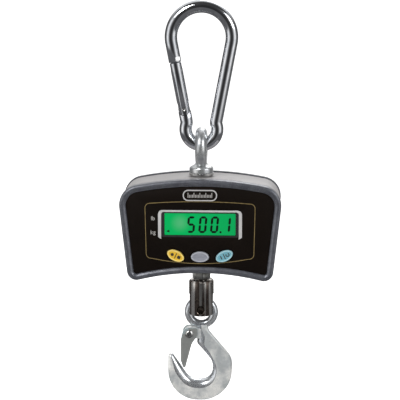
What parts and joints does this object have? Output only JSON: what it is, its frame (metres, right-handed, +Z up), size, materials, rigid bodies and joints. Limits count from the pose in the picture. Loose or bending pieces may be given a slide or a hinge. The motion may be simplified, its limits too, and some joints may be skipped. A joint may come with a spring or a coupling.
{
  "type": "digital hanging scale",
  "caption": "Compact digital hanging scale: sprung snap hook on an eye bolt, arched case with display and oval keys, and a swivel load hook with a safety latch.",
  "frame": {"origin": "hang point: the lowest point of the inside of the snap hook's top bend, on the rod's middle plane, where the scale hangs from its support", "axes": "+Z up along the load line, the display faces -Y, +X is the viewer's right when facing the display"},
  "size_m": [0.126, 0.052, 0.321],
  "materials": {
    "zinc_steel": "bright zinc plated",
    "dark_steel": "blackened and polished",
    "stainless": "satin",
    "case_paint": "silver paint",
    "bezel_paint": "dark metallic paint",
    "panel_black": "gloss black",
    "window_green": "clear green",
    "trim_silver": "satin silver",
    "key_yellow": "satin",
    "key_grey": "satin",
    "key_blue": "satin",
    "black_plastic": "moulded",
    "seal_rubber": "matt",
    "cell_aluminium": "machined",
    "foil": "polyimide film",
    "lead_sleeve": "PVC",
    "board_green": "solder mask",
    "chip_black": "moulded",
    "white_plastic": "moulded",
    "lcd_glass": "laminated glass",
    "cell_jacket": "printed jacket, plain",
    "spring_steel": "drawn wire",
    "latch_zinc": "blue passivated zinc"
  },
  "bodies": {
    "snap_hook": {"carabiner_frame": "zinc_steel", "gate_rivet": "stainless"},
    "gate": {"carabiner_gate": "zinc_steel", "gate_plunger": "stainless", "gate_spring": "spring_steel"},
    "scale_body": {"eye_bolt": "zinc_steel", "eye_washer": "stainless", "top_bush": "black_plastic", "load_cell": "cell_aluminium", "strain_gauges": "foil", "cell_lead": "lead_sleeve", "swivel_bolt": "dark_steel", "lower_washer": "stainless", "jam_nut": "stainless", "bottom_bush": "black_plastic", "main_housing": "case_paint", "front_bezel": "bezel_paint", "rear_cover": "bezel_paint", "front_seal": "seal_rubber", "rear_seal": "seal_rubber", "case_screws": "stainless", "front_panel": "panel_black", "display_window": "window_green", "display_trim": "trim_silver", "badge_plate": "trim_silver", "lcd_panel": "lcd_glass", "backlight": "white_plastic", "main_pcb": "board_green", "pcb_chips": "chip_black", "tact_switches": "chip_black", "pcb_screws": "stainless", "battery_box": "black_plastic", "aa_cell_1": "cell_jacket", "aa_cell_2": "cell_jacket", "aa_cell_3": "cell_jacket", "battery_contacts": "stainless"},
    "unit_button": {"unit_key": "key_yellow"},
    "tare_button": {"tare_key": "key_grey"},
    "power_button": {"power_key": "key_blue"},
    "door": {"battery_door": "black_plastic", "door_screw": "stainless"},
    "swivel": {"swivel_sleeve": "dark_steel", "thrust_races": "stainless", "thrust_balls": "stainless", "hook_pin": "dark_steel"},
    "load_hook": {"hook": "zinc_steel", "latch_rivet": "stainless"},
    "safety_latch": {"latch": "latch_zinc", "latch_spring": "spring_steel"}
  },
  "joints": [
    {"name": "gate_hinge", "type": "hinge", "parent": "snap_hook", "child": "gate", "pos_m": [-0.0135, 0, -0.07468], "axis": [0, 1, 0], "range_deg": [0, 32], "stiffness_Nm_per_rad": 0.03, "springref_deg": -20.05},
    {"name": "body_swing", "type": "hinge", "parent": "snap_hook", "child": "scale_body", "pos_m": [0, 0, -0.103], "axis": [1, 0, 0], "range_deg": [-100, 100]},
    {"name": "unit_press", "type": "slide", "parent": "scale_body", "child": "unit_button", "axis": [0, 1, 0], "range_m": [0, 0.0005], "stiffness_N_per_m": 2000},
    {"name": "tare_press", "type": "slide", "parent": "scale_body", "child": "tare_button", "axis": [0, 1, 0], "range_m": [0, 0.0005], "stiffness_N_per_m": 2000},
    {"name": "power_press", "type": "slide", "parent": "scale_body", "child": "power_button", "axis": [0, 1, 0], "range_m": [0, 0.0005], "stiffness_N_per_m": 2000},
    {"name": "door_lift", "type": "slide", "parent": "scale_body", "child": "door", "axis": [0, 1, 0], "range_m": [0, 0.03]},
    {"name": "swivel_spin", "type": "hinge", "parent": "scale_body", "child": "swivel", "pos_m": [0, 0, -0.22685], "axis": [0, 0, 1], "continuous": true},
    {"name": "hook_swing", "type": "hinge", "parent": "swivel", "child": "load_hook", "pos_m": [0, 0, -0.23485], "axis": [0, 1, 0], "range_deg": [-60, 60]},
    {"name": "latch_hinge", "type": "hinge", "parent": "load_hook", "child": "safety_latch", "pos_m": [-0.0096, 0, -0.25555], "axis": [0, 1, 0], "range_deg": [-36, 0], "stiffness_Nm_per_rad": 0.01, "springref_deg": 34.38}
  ]
}
